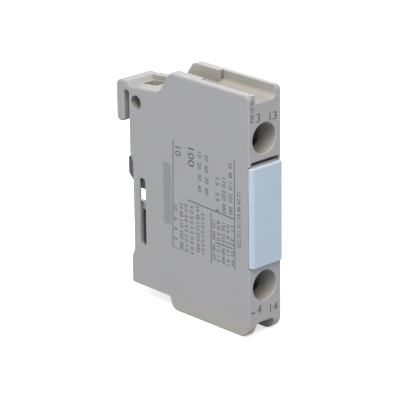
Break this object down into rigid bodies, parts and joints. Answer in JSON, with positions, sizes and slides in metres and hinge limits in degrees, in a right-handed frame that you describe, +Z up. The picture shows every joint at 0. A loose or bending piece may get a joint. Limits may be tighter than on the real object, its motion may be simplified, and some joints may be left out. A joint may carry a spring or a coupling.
{
  "type": "auxiliary contact block",
  "caption": "Slim one-pole contact block that hooks on a contactor: grey case, blue marking cap, screw terminals and a sprung slide with a contact bridge.",
  "frame": {"origin": "on the surface that the block stands on, under the middle of its bounding box", "axes": "+X across the block from the printed side to the far side, +Y from the front face to the contactor, +Z up"},
  "size_m": [0.01, 0.045, 0.0582],
  "materials": {
    "grey_plastic": "fine moulded texture",
    "cap_plastic": "smooth moulded",
    "slide_plastic": "smooth moulded",
    "copper": "rolled",
    "brass": "rolled and bent",
    "plated_steel": "zinc plated",
    "spring_steel": "drawn wire",
    "silver": "contact alloy"
  },
  "bodies": {
    "housing": {"housing_shell": "grey_plastic", "side_cover": "grey_plastic", "marking_cap": "cap_plastic", "return_spring": "spring_steel", "upper_terminal_bar": "brass", "upper_terminal_nut": "plated_steel", "upper_fixed_tip": "silver", "lower_terminal_bar": "brass", "lower_terminal_nut": "plated_steel", "lower_fixed_tip": "silver"},
    "carrier": {"contact_carrier": "slide_plastic", "contact_spring": "spring_steel"},
    "bridge": {"contact_bridge": "copper", "upper_bridge_tip": "silver", "lower_bridge_tip": "silver"},
    "upper_clamp": {"upper_clamp_washer": "plated_steel", "upper_spring_washer": "spring_steel"},
    "upper_screw": {"upper_terminal_screw": "plated_steel"},
    "lower_clamp": {"lower_clamp_washer": "plated_steel", "lower_spring_washer": "spring_steel"},
    "lower_screw": {"lower_terminal_screw": "plated_steel"}
  },
  "joints": [
    {"name": "carrier_slide", "type": "slide", "parent": "housing", "child": "carrier", "axis": [0, 1, 0], "range_m": [0, 0.003], "stiffness_N_per_m": 150, "springref_m": -0.004, "deforming": ["return_spring"]},
    {"name": "bridge_give", "type": "slide", "parent": "carrier", "child": "bridge", "axis": [0, -1, 0], "range_m": [0, 0.001], "deforming": ["contact_spring"]},
    {"name": "upper_clamp_slide", "type": "slide", "parent": "housing", "child": "upper_clamp", "axis": [0, -1, 0], "range_m": [0, 0.0024]},
    {"name": "upper_screw_turn", "type": "hinge", "parent": "upper_clamp", "child": "upper_screw", "pos_m": [-0.0002, -0.01316, 0.0468], "axis": [0, -1, 0], "range_deg": [0, 1440]},
    {"name": "lower_clamp_slide", "type": "slide", "parent": "housing", "child": "lower_clamp", "axis": [0, -1, 0], "range_m": [0, 0.0024]},
    {"name": "lower_screw_turn", "type": "hinge", "parent": "lower_clamp", "child": "lower_screw", "pos_m": [-0.0002, -0.01316, 0.012], "axis": [0, -1, 0], "range_deg": [0, 1440]}
  ],
  "couplings": [
    {"joint": "bridge_give", "follows": "carrier_slide", "ratio": 0.3333},
    {"joint": "upper_screw_turn", "follows": "upper_clamp_slide", "rad_per_m": 10472},
    {"joint": "lower_screw_turn", "follows": "lower_clamp_slide", "rad_per_m": 10472}
  ]
}
